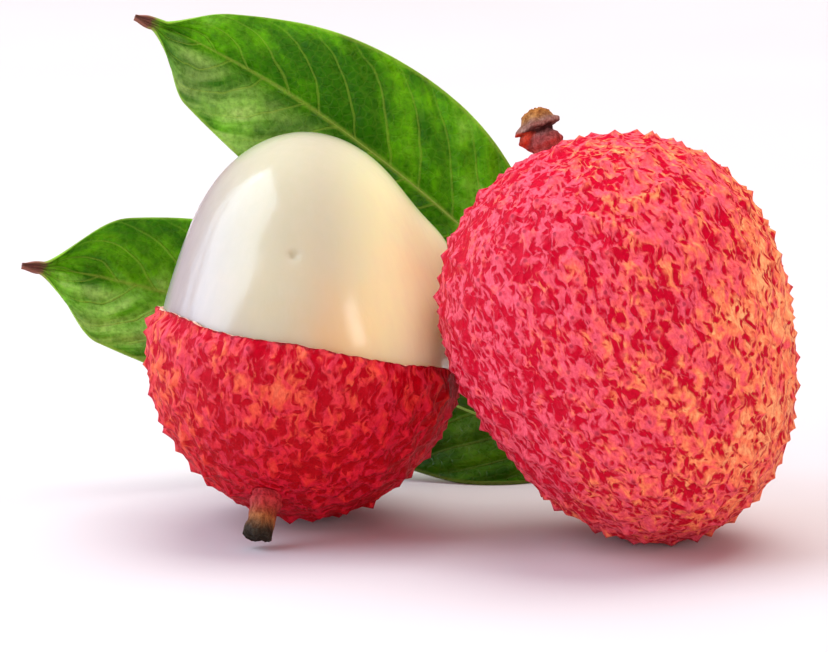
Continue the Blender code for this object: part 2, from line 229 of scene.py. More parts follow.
# The middle of a noise's colour, and a shift that keeps the rind's patches apart from its net.
MIDDLE = (0.5, 0.5, 0.5)
PATCH_SHIFT = (31.0, 7.0, 13.0)

# The flesh stays cool in colour above this height over the peeled fruit's middle; below it, painted
# bounce light from the rind warms it towards peach.
COOL_HEIGHT = 12.0

# How pointed bumps and ridges are, how much lower a ridge is than a bump, how softly they join,
# and how far a bump's tip leans at random.
BUMP_POINT = 1.55
RIDGE_POINT = 1.6
RIDGE_LIMIT = 0.6
BUMP_BLEND = 0.12
BUMP_SWAY = 0.9

# Stalk colours from the foot to the broken end: shares of the height with display colours, 0 to
# 255, or names of settings.
WHOLE_STALK_BANDS = (
    (0.0, (190, 84, 76)), (0.24, (172, 84, 80)), (0.38, (178, 122, 116)), (0.45, (58, 24, 20)),
    (0.52, (62, 26, 20)), (0.60, (176, 142, 126)), (0.70, (150, 104, 84)), (0.82, "wood_colour"),
    (0.96, (176, 112, 44)),
)
PEELED_STALK_BANDS = (
    (0.0, (206, 50, 60)), (0.24, (192, 62, 56)), (0.42, (176, 84, 50)), (0.56, (178, 112, 58)),
    (0.74, (120, 84, 46)), (0.88, (60, 50, 30)), (1.0, (52, 44, 28)),
)
TWIG_BANDS = ((0.0, "bark_colour"), (1.0, (96, 92, 44)))
LUMP_COLOUR = (200, 62, 30)

# Lumps on the stalks: the turn in degrees, the height, the spread and the size of each.
WHOLE_STALK_LUMPS = ((-40.0, 1.5, 0.85, 1.35), (215.0, 2.3, 0.5, 0.25))
PEELED_STALK_LUMPS = ((60.0, 2.2, 0.6, 0.25),)

# Unevenness of a stalk: the grain round it, the grain up it and the size of each kind.
STALK_WARP = (1.3, 0.8, 0.22)
STALK_FLUTES = (4.5, 0.5, 0.07)
BREAK_WARP = (1.6, 0.0, 0.35)
SPLINTER_GRAIN = 2.2
SPLINTER_HEIGHT = 0.25
SPLINTER_RINGS = 6

# How far past the end of the bark the colour bands go at the middle of the break.
BREAK_SHARE = 0.2

# Knobs on the leaves' stalk: their height and their grain.
TWIG_KNOBS = (0.35, 0.8)

# Seeds of the random draws.
WHOLE_SEED = 3
PEELED_SEED = 8
WHOLE_STALK_SEED = 5
PEELED_STALK_SEED = 9

# Lights: place, target, size, the setting for the power, the share of it, tint, and whether wet
# skin mirrors the light.
WINDOW_TINT = (0.68, 0.83, 1.0)
LIGHTS = {
    "window": ((-469.0, -10.0, 340.0), (-8.0, 0.0, 40.0), (400.0, 680.0),
               "key_power", 0.91, WINDOW_TINT, True),
    "window_edge": ((-473.0, 236.0, 340.0), (-8.0, 0.0, 40.0), (60.0, 680.0),
                    "key_power", 0.09, WINDOW_TINT, True),
    "overhead": ((200.0, 500.0, 1300.0), (0.0, 40.0, 0.0), (1400.0, 1100.0),
                 "top_power", 1.0, (0.95, 1.0, 0.985), False),
    "front": ((90.0, -680.0, 100.0), (5.0, 0.0, 20.0), (600.0, 400.0),
              "fill_power", 1.0, (1.0, 0.90, 0.93), False),
    "glint": ((480.0, -440.0, 300.0), (10.0, 0.0, 15.0), (120.0, 260.0),
              "glint_power", 1.0, (1.0, 1.0, 1.0), True),
}


def paint(red, green, blue):
    """A display colour, 0 to 255, as the linear colour that shaders work in."""
    linear = []
    for part in (red, green, blue):
        share = part / 255.0
        linear.append(share / 12.92 if share <= 0.04045 else ((share + 0.055) / 1.055) ** 2.4)
    return (*linear, 1.0)


def colour_setting(name, description, colour):
    return FloatVectorProperty(name=name, description=description, subtype="COLOR", size=4,
                               min=0.0, max=1.0, default=paint(*colour))


def length_setting(name, description, millimetres):
    return FloatProperty(name=name, description=description, default=millimetres * MM, min=0.0,
                         unit="LENGTH", subtype="DISTANCE", precision=5)


def angle_setting(name, description, degrees):
    return FloatProperty(name=name, description=description, default=math.radians(degrees),
                         unit="ROTATION", subtype="ANGLE")


def power_setting(name, description, watts):
    return FloatProperty(name=name, description=description, default=watts, min=0.0, unit="POWER")


class LycheeRindSettings(bpy.types.PropertyGroup):
    """Sizes and colours of the bumpy rind."""

    whole_bump_height: length_setting("Whole fruit's bumps", "Height of a usual bump", 0.62)
    peeled_bump_height: length_setting("Peeled fruit's bumps", "Height of a usual bump", 0.56)
    bump_width: length_setting("Bump width", "From a bump's tip to its foot", 1.45)
    ridge_height: length_setting("Ridge height", "Height of the ridges that join the bumps", 0.30)
    grain_height: length_setting("Grain height", "Unevenness of the rind between the bumps", 0.10)
    fineness: IntProperty(name="Fineness", description="How often the skin's net is divided",
                          default=3, min=0, max=3)
    ridge_colour: colour_setting("Ridges", "Salmon colour of the ridges", (246, 98, 98))
    orange_colour: colour_setting("Orange patches", "Warm patches of the rind", (252, 138, 92))
    peach_colour: colour_setting("Peach patches", "Palest patches of the rind", (253, 174, 116))
    pink_colour: colour_setting("Pink patches", "Coolest patches of the rind", (234, 88, 107))
    pit_colour: colour_setting("Hollows", "Crimson of the hollows between ridges", (198, 0, 38))
    tip_colour: colour_setting("Bump tips", "Dry brown of the very tips", (140, 18, 42))
    pith_colour: colour_setting("Pith", "Inside of the rind and its torn rim", (246, 196, 170))


class LycheeFleshSettings(bpy.types.PropertyGroup):
    """Colours and wetness of the flesh."""

    # Painted light: the window-side colour stands for the window's cool light on the left, peach
    # for red light thrown up from the rind, and the lit-side colour for light on the right.
    window_side_colour: colour_setting("Pale", "Cool colour on the left of the flesh", (180, 170, 164))
    cream_colour: colour_setting("Cream", "Main colour of the flesh", (198, 194, 164))
    peach_colour: colour_setting("Peach", "Warm colour low on the flesh", (228, 186, 126))
    lit_side_colour: colour_setting("Honey", "Clear colour on the right of the flesh", (242, 252, 192))
    depth: length_setting("Depth of light", "How far light travels in the flesh", 5.5)
    roughness: FloatProperty(name="Roughness", description="Roughness of the wet skin",
                             default=0.22, min=0.0, max=1.0, subtype="FACTOR")


class LycheeLeafSettings(bpy.types.PropertyGroup):
    """Sizes and colours of the leaves and stalks."""

    thickness: length_setting("Blade thickness", "Thickness of a leaf's blade", 0.34)
    blade_colour: colour_setting("Blade", "Green of the upper side", (104, 192, 4))
    dark_colour: colour_setting("Dark blade", "Deepest green of the upper side", (46, 116, 0))
    under_colour: colour_setting("Underside", "Pale green of the lower side", (118, 150, 84))
    # Painted sheen: a pale colour for reflected light on the upper side.
    painted_sheen_colour: colour_setting("Sheen", "Pale waxy streaks of the upper side", (190, 222, 130))
    vein_colour: colour_setting("Veins", "Yellow green of the midrib and veins", (166, 206, 74))
    dry_colour: colour_setting("Dry tip", "Brown of the leaf's dead tip", (150, 104, 88))
    bark_colour: colour_setting("Bark", "Brown of the stalks", (128, 62, 40))
    wood_colour: colour_setting("Broken wood", "Tan of the broken ends", (196, 142, 78))


class LycheeStageSettings(bpy.types.PropertyGroup):
    """The pale studio and its camera."""

    floor_colour: colour_setting("Floor", "Colour of the floor", (214, 208, 207))
    daylight: FloatProperty(name="Daylight", description="Strength of the even light all round",
                            default=0.33, min=0.0)
    key_power: power_setting("Window light", "Power of the tall light on the left", 4.2)
    top_power: power_setting("Top light", "Power of the wide light overhead", 26.0)
    fill_power: power_setting("Front light", "Power of the soft light in front", 2.6)
    glint_power: power_setting("Glint", "Power of the narrow light on the right", 0.45)
    elevation: angle_setting("Elevation", "The camera's angle above the floor", 11.0)
    roll: angle_setting("Roll", "The camera's tilt", 1.5)
    distance: length_setting("Distance", "From the camera to the point looked at", 450.0)
    lens: FloatProperty(name="Lens", description="Focal length", default=206.0, min=1.0,
                        unit="CAMERA")


class Wire:
    """A node's output, which takes sums and products as plain numbers do."""

    def __init__(self, bench, socket):
        self.bench = bench
        self.socket = socket

    def __getitem__(self, name):
        """Another output of the same node."""
        return Wire(self.bench, self.socket.node.outputs[name])

    def work(self, operation, *others, swapped=False):
        """This value and others in one maths node, or in one vector maths node for vectors."""
        values = (*others, self) if swapped else (self, *others)
        kind = "ShaderNodeMath" if self.socket.type == "VALUE" else "ShaderNodeVectorMath"
        return self.bench.add(kind, dict(enumerate(values)), operation=operation)

    def __add__(self, other):
        return self.work("ADD", other)

    def __sub__(self, other):
        return self.work("SUBTRACT", other)

    def __rsub__(self, other):
        return self.work("SUBTRACT", other, swapped=True)

    def __mul__(self, other):
        if self.socket.type == "VALUE" or isinstance(other, tuple):
            return self.work("MULTIPLY", other)
        return self.bench.add("ShaderNodeVectorMath", {0: self, "Scale": other}, operation="SCALE")

    def __pow__(self, other):
        return self.work("POWER", other)

    def __abs__(self):
        return self.work("ABSOLUTE")

    def clamped(self):
        """This value, kept within 0 to 1."""
        return self.bench.add("ShaderNodeClamp", {0: self})

    def span(self, low, high, to_low=0.0, to_high=1.0):
        """Maps low..high to to_low..to_high with a soft start and end."""
        inputs = dict(enumerate((self, low, high, to_low, to_high)))
        return self.bench.add("ShaderNodeMapRange", inputs, interpolation_type="SMOOTHSTEP")

    def noise(self, scale, detail=2.0, roughness=0.5):
        """Soft noise at this place, about 0.3 to 0.7."""
        inputs = {"Vector": self, "Scale": scale, "Detail": detail, "Roughness": roughness}
        return self.bench.add("ShaderNodeTexNoise", inputs)

    def cell_edge(self, scale):
        """How far this place is from the nearest edge in a net of cells."""
        return self.bench.add("ShaderNodeTexVoronoi", {"Vector": self, "Scale": scale},
                              feature="DISTANCE_TO_EDGE")["Distance"]


class NodeBench:
    """Adds nodes to a node tree, so that building one reads as a list of steps."""

    def __init__(self, tree, material=None):
        self.tree = tree
        self.material = material

    def feed(self, node, inputs):
        """Sets a node's sockets, by name or number, to values, or links them to wires."""
        for key, value in inputs.items():
            if isinstance(value, Wire):
                self.tree.links.new(value.socket, node.inputs[key])
            else:
                node.inputs[key].default_value = value

    def add(self, kind, inputs=None, **settings):
        """A new node, as the wire of its first output."""
        node = self.tree.nodes.new(kind)
        for name, value in settings.items():
            setattr(node, name, value)
        self.feed(node, inputs or {})
        return Wire(self, node.outputs[0])

    def mix(self, share, first, second, blend="MIX"):
        """A share of the way from the first colour to the second."""
        return self.add("ShaderNodeMix", {0: share, 6: first, 7: second}, data_type="RGBA",
                        blend_type=blend)[2]

    def tint(self, first, second):
        """One colour times another."""
        return self.mix(1.0, first, second, "MULTIPLY")

    def attribute(self, name, output="Fac"):
        """A named attribute of the mesh, in a material."""
        return self.add("ShaderNodeAttribute", attribute_name=name)[output]

    def stored(self, name):
        """A named number of the geometry, in a geometry tree."""
        return self.add("GeometryNodeInputNamedAttribute", {"Name": name}, data_type="FLOAT")

    def place(self):
        """The object's own coordinates, in millimetres."""
        return self.add("ShaderNodeTexCoord")["Object"] * (1.0 / MM)

    def relief(self, height, depth):
        """A normal for relief too fine for the mesh. Height is in shares of the depth."""
        inputs = {"Height": height, "Distance": depth * MM, "Strength": 1.0}
        return self.add("ShaderNodeBump", inputs)

    def group(self, name, build, inputs):
        """A node group of a name, with its inputs."""
        return self.add("ShaderNodeGroup", inputs, node_tree=tree_named(name, build))

    def give(self, results):
        """Gives a group its outputs, and returns the group."""
        for name, wire in results.items():
            kind = GIVEN_AS[wire.socket.type]
            self.tree.interface.new_socket(name, in_out="OUTPUT", socket_type=kind)
        self.feed(self.tree.nodes.new("NodeGroupOutput"), results)
        return self.tree

    def shade(self, inputs):
        """Feeds the material's Principled shader, and returns the material."""
        self.feed(self.tree.nodes["Principled BSDF"], inputs)
        return self.material


def start_group(name, kind, inputs):
    """A new node group's bench and inputs. Each input has its first value or its socket type."""
    tree = bpy.data.node_groups.new(name, kind)
    for label, value in inputs.items():
        kind = {str: value, int: "NodeSocketInt", float: "NodeSocketFloat"}[type(value)]
        socket = tree.interface.new_socket(label, in_out="INPUT", socket_type=kind)
        if kind != value:
            socket.default_value = value
    bench = NodeBench(tree)
    return bench, bench.add("NodeGroupInput")


def tree_named(name, build):
    """The node group of that name, built the first time that it is asked for."""
    return bpy.data.node_groups.get(name) or build()


def start_material(name):
    """The bench of a new material that has one Principled shader."""
    made = bpy.data.materials.new(name)
    made.use_nodes = True
    return NodeBench(made.node_tree, made)


def ridge_net_group():
    """Shader group: the rind's ridges, hollows and tips, as colour, roughness and height, with
    painted shade that darkens the colour.
    """
    bench, given = start_group("Ridge net", "ShaderNodeTree", {
        "Place": VECTOR, "Tip": 0.0, "Line": 0.0, "Ridge": COLOUR, "Orange": COLOUR,
        "Peach": COLOUR, "Pink": COLOUR, "Hollow": COLOUR, "Tip colour": COLOUR,
        "Hollow share": 0.5, "Warmth": 0.5, "Darkness": 0.0})
    place, tip = given["Place"], given["Tip"]
    bent = place + (place.noise(0.45, 1.0)["Color"] - MIDDLE) * 2.0
    drawn = bent * (1.0, 1.0, 0.50)
    ragged = drawn.noise(2.3, 2.0, 0.55) - 0.5
    streaks = (bent * (1.0, 1.0, 0.30)).noise(0.34, 1.0) - 0.5
    depth = drawn.noise(0.95, 1.0) + ragged * 0.55 + streaks * 0.45 + (0.5 - given["Line"]) * 0.10
    depth = depth + given["Hollow share"] - given["Warmth"] * 0.12
    depth = depth + (drawn.cell_edge(1.15) - 0.17) * 0.75
    pit = depth.span(0.86, 1.09) * tip.span(0.55, 0.90, 1.0, 0.35)
    patches = (place + PATCH_SHIFT).noise(0.13, 3.0, 0.65) - 0.5
    blotches = drawn.noise(1.05, 1.0) - 0.5
    warm = patches * 2.6 + given["Warmth"] + blotches * 2.2
    ridge = bench.mix(warm.span(0.40, 0.85), given["Ridge"], given["Orange"])
    ridge = bench.mix(warm.span(0.85, 1.30), ridge, given["Peach"])
    ridge = bench.mix(warm.span(0.45, -0.05), ridge, given["Pink"])
    hatch = (place * (1.0, 1.0, 0.6)).noise(2.7, 3.0, 0.6)
    on_ridge = bench.mix(hatch.span(0.30, 0.70), *RIDGE_TONES)
    in_hollow = bench.mix(hatch, *HOLLOW_TONES)
    skin = bench.mix(pit, bench.tint(ridge, on_ridge), bench.tint(given["Hollow"], in_hollow))
    dot = (tip + ragged * 0.12).span(0.80, 0.93) * warm.span(0.15, 1.0, 0.60, 0.05)
    skin = bench.mix(dot, skin, given["Tip colour"])
    # Painted shade: the colour darkens by the given share, standing for shadow on the rind's shaded
    # side.
    skin = bench.mix(given["Darkness"].clamped(), skin, bench.tint(skin, PAINTED_SHADE_TONE))
    return bench.give({"Colour": skin, "Roughness": hatch.span(0.2, 0.8, 0.66, 0.46),
                       "Height": (1.0 - pit) * 0.6 + hatch * 0.40})


def rind_material(name, looks, matrix):
    """A rind's outer skin, with the ridge net placed by where each point was before the bumps rose.

    Its warmth and its painted shade are each a mean and the direction, from the fruit's middle, of
    the most.
    """
    settings = bpy.context.scene.lychee_rind
    bench = start_material(name)
    place = bench.attribute("skin_place", "Vector")
    leans = []
    # The second lean is the painted shade, darkest towards its direction.
    for mean, side in (looks["warmth"], looks["darkness"]):
        local_side = matrix.to_3x3().inverted() @ Vector(side) / WHOLE_OUTLINE[0]
        leans.append(place.work("DOT_PRODUCT", local_side)["Value"] + mean)
    net = bench.group("Ridge net", ridge_net_group, {
        "Place": place * looks["fineness"], "Tip": bench.attribute("skin_tip"),
        "Line": bench.attribute("skin_line"), "Ridge": settings.ridge_colour,
        "Orange": settings.orange_colour, "Peach": settings.peach_colour,
        "Pink": settings.pink_colour, "Hollow": settings.pit_colour,
        "Tip colour": settings.tip_colour, "Hollow share": looks["hollow_share"],
        "Warmth": leans[0], "Darkness": leans[1]})
    return bench.shade({
        "Base Color": net["Colour"], "Roughness": net["Roughness"],
        "Normal": bench.relief(net["Height"], RIND_RELIEF), "Specular IOR Level": 0.10})


def pith_material():
    """The pale, slightly spongy inside of the rind."""
    pith = bpy.context.scene.lychee_rind.pith_colour
    bench = start_material("lychee_pith")
    place = bench.place()
    spots = place.noise(0.9, 3.0, 0.6).span(0.42, 0.68)
    fine = place.noise(6.0, 2.0, 0.6)
    return bench.shade({
        "Base Color": bench.mix(spots, pith, bench.tint(pith, PITH_BLUSH)),
        "Roughness": fine.span(0.3, 0.7, 0.40, 0.60), "Normal": bench.relief(fine, PITH_RELIEF),
        "Subsurface Weight": 0.3, "Subsurface Scale": 1.0 * MM,
        "Subsurface Radius": (1.0, 0.6, 0.5)})


def flesh_material():
    """Wet, translucent flesh with faint fibres that run from the stalk."""
    settings = bpy.context.scene.lychee_flesh
    bench = start_material("lychee_flesh")
    place = bench.place()
    axes = bench.add("ShaderNodeSeparateXYZ", {0: place})
    beside = axes["X"] - PEELED_CENTRE[0]
    below = PEELED_CENTRE[2] + COOL_HEIGHT - axes["Z"]
    # Painted light on the flesh: peach low down and to the right for red light thrown from the
    # rind, cool and greyer on the left that faces the window, and a light, clear colour on the
    # right that stands for light there and offsets the red light from the whole fruit.
    warm = below * 0.035 + beside * 0.030 + (place.noise(0.10) - 0.5) * 0.8
    colour = bench.mix(beside.span(-12.0, -3.0), settings.window_side_colour, settings.cream_colour)
    colour = bench.mix(warm.span(0.0, 0.8), colour, settings.peach_colour)
    colour = bench.mix(beside.span(1.5, 11.0), colour, settings.lit_side_colour)
    fibres = (place * (1.0, 1.0, 0.15)).noise(0.9, 3.0, 0.55)
    return bench.shade({
        "Base Color": bench.mix(fibres.span(0.35, 0.75, 0.0, 0.10), colour, FIBRE_COLOUR),
        "Roughness": settings.roughness, "IOR": 1.38, "Specular IOR Level": 0.5,
        "Subsurface Weight": 0.85, "Subsurface Scale": settings.depth,
        "Subsurface Radius": (1.0, 0.85, 0.70), "Coat Weight": 0.65, "Coat Roughness": 0.15,
        "Normal": bench.relief(fibres, FIBRE_RELIEF)})


def bark_grain_group():
    """Shader group: long, dry grain for stalks, as a mask and a height."""
    bench, given = start_group("Bark grain", "ShaderNodeTree", {"Place": VECTOR})
    long_grain = (given["Place"] * (1.0, 1.0, 0.35)).noise(2.2, 4.0, 0.65)
    specks = given["Place"].noise(5.5, 2.0, 0.6)
    both = long_grain * 0.7 + specks * 0.3
    return bench.give({"Mask": both.span(0.36, 0.64), "Height": both})


def stalk_material(name, bands):
    """Bark in bands up the stalk, each from a share of the height."""
    settings = bpy.context.scene.lychee_leaf
    bench = start_material(name)
    place = bench.place()
    grain = bench.group("Bark grain", bark_grain_group, {"Place": place})
    shift = (place.noise(0.9) - 0.5) * 0.16
    ramp = bench.add("ShaderNodeValToRGB", {0: bench.attribute("stalk_height") + shift})
    points = ramp.socket.node.color_ramp.elements
    while len(points) < len(bands):
        points.new(1.0)
    for point, (share, colour) in zip(points, bands):
        point.position = share
        point.color = getattr(settings, colour) if isinstance(colour, str) else paint(*colour)
    lump = bench.attribute("stalk_lump").span(0.25, 0.75)
    bark = bench.mix(lump, ramp, paint(*LUMP_COLOUR))
    return bench.shade({
        "Base Color": bench.mix(grain["Mask"], bench.tint(bark, BARK_SHADOW), bark),
        "Roughness": grain["Mask"].span(0.0, 1.0, 0.88, 0.62),
        "Normal": bench.relief(grain["Height"], BARK_RELIEF), "Specular IOR Level": 0.3})


def leaf_veins_group():
    """Shader group: side veins that arch towards the tip, and the fine net between them."""
    bench, given = start_group("Leaf veins", "ShaderNodeTree", {"Place on leaf": VECTOR})
    axes = bench.add("ShaderNodeSeparateXYZ", {0: given["Place on leaf"]})
    along, across = axes["X"], axes["Y"] * 2.0 - 1.0
    out = abs(across)
    flat = given["Place on leaf"] * (*LEAF_SIZE, 0.0)
    sway = (flat.noise(0.14) - 0.5) * 0.045
    lean = out * (out * VEIN_LEAN[1] + VEIN_LEAN[0])
    turns = (along + lean + sway) * SIDE_VEINS + across.work("SIGN") * 0.25
    vein = abs(turns.work("FRACT") - 0.5).span(0.060, 0.012) * out.span(1.02, 0.55, 0.25, 1.0)
    net = (flat + flat.noise(0.5)["Color"]).cell_edge(1.05).span(0.14, 0.0)
    swell = ((turns + 0.5).work("FRACT") * math.pi).work("SINE")
    return bench.give({
        "Vein": vein, "Net": net, "Height": swell * 0.5 - net * 0.05 + vein * 0.22,
        "Along": along, "Across": across,
        "Streaks": bench.add("ShaderNodeCombineXYZ", {0: turns * 1.5, 1: across * 1.3})})


def painted_sheen_blade(bench, veins, cloud):
    """The upper side's green, mottled and streaked, with a painted sheen of pale streaks near the
    tip that stands for reflected light.
    """
    settings = bpy.context.scene.lychee_leaf
    streak = veins["Streaks"].noise(1.0, 3.0, 0.6)
    # Painted sheen: pale streaks on the lower half near the tip and in patches, standing for light
    # reflected off the blade.
    near_tip = veins["Along"].span(0.04, 0.14) * veins["Along"].span(0.60, 0.34)
    painted_sheen = near_tip * veins["Across"].span(-0.02, -0.30) + cloud.span(0.52, 0.66)
    painted_sheen = (painted_sheen * streak.span(0.25, 0.75) * 0.46).clamped()
    # Mottled green, lighter along the same streaks as the painted sheen.
    tone = (cloud + (streak - 0.5) * 0.45).span(0.34, 0.66)
    green = bench.mix(tone, settings.dark_colour, settings.blade_colour)
    return bench.mix(painted_sheen, green, settings.painted_sheen_colour)


def blade_material(name, upper, base_shade=WHITE):
    """A waxy blade: the upper side deep green with pale veins, or the paler, duller underside.

    The base shade is painted shade that darkens the blade towards its base.
    """
    settings = bpy.context.scene.lychee_leaf
    bench = start_material(name)
    map_place = bench.add("ShaderNodeUVMap", uv_map="leaf_map")
    veins = bench.group("Leaf veins", leaf_veins_group, {"Place on leaf": map_place})
    spot = bench.place()
    cloud = spot.noise(0.12, 3.0, 0.6)
    freckle = spot.noise(1.6, 3.0, 0.65)
    blade = painted_sheen_blade(bench, veins, cloud) if upper else settings.under_colour
    vein_share, edge_share, gloss, depth = UPPER_LOOKS if upper else UNDER_LOOKS
    blade = bench.tint(blade, bench.mix(freckle.span(0.3, 0.7), *FRECKLE_TONES))
    out = abs(veins["Across"])
    for share in (veins["Net"] * 0.07, veins["Vein"] * vein_share, out.span(0.060, 0.0, 0.0, 0.45),
                  out.span(0.955, 0.995, 0.0, edge_share)):
        blade = bench.mix(share, blade, settings.vein_colour)
    # Painted shade: darker towards the base by the base shade.
    blade = bench.tint(blade, bench.mix(veins["Along"].span(0.40, 0.62), WHITE, base_shade))
    dry = (veins["Along"] + (freckle - 0.5) * 0.05).span(0.060, 0.026)
    blade = bench.mix(dry, blade, bench.mix(freckle, settings.dry_colour, DEAD_TIP_COLOUR))
    return bench.shade({
        "Base Color": blade, "Specular IOR Level": 0.16,
        "Roughness": freckle.span(0.3, 0.7, gloss - 0.06, gloss + 0.10) + dry * 0.3,
        "Subsurface Weight": 0.15, "Subsurface Scale": 0.4 * MM,
        "Subsurface Radius": (0.5, 1.0, 0.2), "Normal": bench.relief(veins["Height"], depth)})


def rib_material():
    """The yellow green midrib, browner at its dry tip."""
    settings = bpy.context.scene.lychee_leaf
    bench = start_material("leaf_rib")
    grain = (bench.place() * (0.3, 1.0, 1.0)).noise(2.4, 3.0, 0.6)
    pale = bench.mix(grain, settings.vein_colour, RIB_SHADE)
    dry = bench.attribute("rod_share").span(0.075, 0.03)
    return bench.shade({
        "Base Color": bench.mix(dry, pale, settings.dry_colour),
        "Roughness": grain.span(0.3, 0.7, 0.40, 0.55), "Normal": bench.relief(grain, RIB_RELIEF)})


def floor_material():
    """A plain pale floor with the faintest unevenness."""
    colour = bpy.context.scene.lychee_stage.floor_colour
    bench = start_material("studio_floor")
    cloud = bench.add("ShaderNodeTexCoord")["Object"].noise(14.0)
    return bench.shade({
        "Base Color": bench.mix(cloud.span(0.35, 0.65), bench.tint(colour, FLOOR_TONE), colour),
        "Roughness": cloud.span(0.3, 0.7, 0.75, 0.85), "Specular IOR Level": 0.2})


def lean_direction(lean):
    """The unit vector that leans from upright to the right and then to the back."""
    right, back = (math.radians(angle) for angle in lean)
    rest = math.cos(right)
    return Vector((math.sin(right), rest * math.sin(back), rest * math.cos(back)))


def placed(centre, direction):
    """A matrix that takes local +Z to a direction, and the origin to a place in millimetres."""
    turn = direction.to_track_quat("Z", "Y").to_matrix().to_4x4()
    return Matrix.Translation(Vector(centre) * MM) @ turn


def outline_radius(outline, angle):
    """Radius in metres at an angle from the stalk, from a short cosine series."""
    return MM * sum(part * math.cos(order * angle) for order, part in enumerate(outline))


def wider(outline, extra):
    """A fruit's outline with its mean radius made larger."""
    return (outline[0] + extra, *outline[1:])


def smooth_step(low, high, value):
    share = min(max((value - low) / (high - low), 0.0), 1.0)
    return share * share * (3.0 - 2.0 * share)


def spread_directions(count, seed):
    """Unit vectors spread evenly by the golden angle, each moved a little by a seeded draw."""
    draw = random.Random(seed)
    golden = math.pi * (3.0 - math.sqrt(5.0))
    shift = BUMP_SHIFT * math.sqrt(4.0 * math.pi / count)
    for index in range(count):
        height = 1.0 - 2.0 * (index + 0.5) / count
        ring = math.sqrt(1.0 - height * height)
        turn = golden * index
        point = Vector((ring * math.cos(turn), ring * math.sin(turn), height))
        yield (point + shift * Vector([draw.uniform(-1.0, 1.0) for _ in range(3)])).normalized()


def plain_mesh(bm, name):
    """Turn a bmesh into a smooth mesh, with its faces as they are."""
    mesh = bpy.data.meshes.new(name)
    bm.to_mesh(mesh)
    bm.free()
    mesh.shade_smooth()
    return mesh


def mesh_from(bm, name):
    """Turn a bmesh into a smooth mesh with its faces pointing out."""
    bmesh.ops.recalc_face_normals(bm, faces=bm.faces[:])
    return plain_mesh(bm, name)


def add_object(name, data, *materials):
    """A new object in the scene, with its materials in order."""
    made = bpy.data.objects.new(name, data)
    bpy.context.scene.collection.objects.link(made)
    for finish in materials:
        data.materials.append(finish)
    return made


def give_nodes(source, tree, inputs):
    """Puts a geometry tree on an object, with its inputs set by the sockets' identifiers."""
    modifier = source.modifiers.new(tree.name, "NODES")
    modifier.node_group = tree
    for item in tree.interface.items_tree:
        if item.in_out == "INPUT" and item.name in inputs:
            modifier[item.identifier] = inputs[item.name]


def settled_mesh(source):
    """The plain mesh that an object's modifiers make. The object goes."""
    bpy.context.view_layer.update()
    depsgraph = bpy.context.evaluated_depsgraph_get()
    evaluated = source.evaluated_get(depsgraph)
    mesh = bpy.data.meshes.new_from_object(evaluated, preserve_all_data_layers=True,
                                           depsgraph=depsgraph)
    bpy.data.objects.remove(source)
    return mesh


def hand_over(piece, node):
    """Puts a finished piece in its node's place."""
    if not len(piece.data.polygons):
        raise RuntimeError(f"{piece.name} has no faces")
    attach(piece, "root")
    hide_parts(node)


def bump_net(outline, count, height, stalk_direction, seed):
    """The net under the bumps: a point at each bump's place, and one in each hollow between three.

    The stored lift says how far a point rises, and the stored ridge is 1 on the lines that join
    two bumps and 0 in the hollows.
    """
    draw = random.Random(seed)
    bm = bmesh.new()
    lift = bm.verts.layers.float.new("lift")
    ridge = bm.verts.layers.float.new("ridge")
    for direction in spread_directions(count, seed):
        bm.verts.new(direction)
    bmesh.ops.convex_hull(bm, input=bm.verts[:])
    peaks = set(bm.verts)
    bmesh.ops.poke(bm, faces=bm.faces[:])
    for vert in bm.verts:
        direction = vert.co.normalized()
        vert.co = direction * (outline_radius(outline, math.acos(direction.z)) - height)
        vert[ridge] = 0.0
        vert[lift] = 0.0
        if vert in peaks:
            angle = math.degrees(direction.angle(stalk_direction))
            share = smooth_step(BALD_ANGLE, FULL_BUMP_ANGLE, angle)
            vert[lift] = share * draw.uniform(*BUMP_HEIGHT_RANGE) * height
            vert[ridge] = 1.0
    return mesh_from(bm, "bump_net")


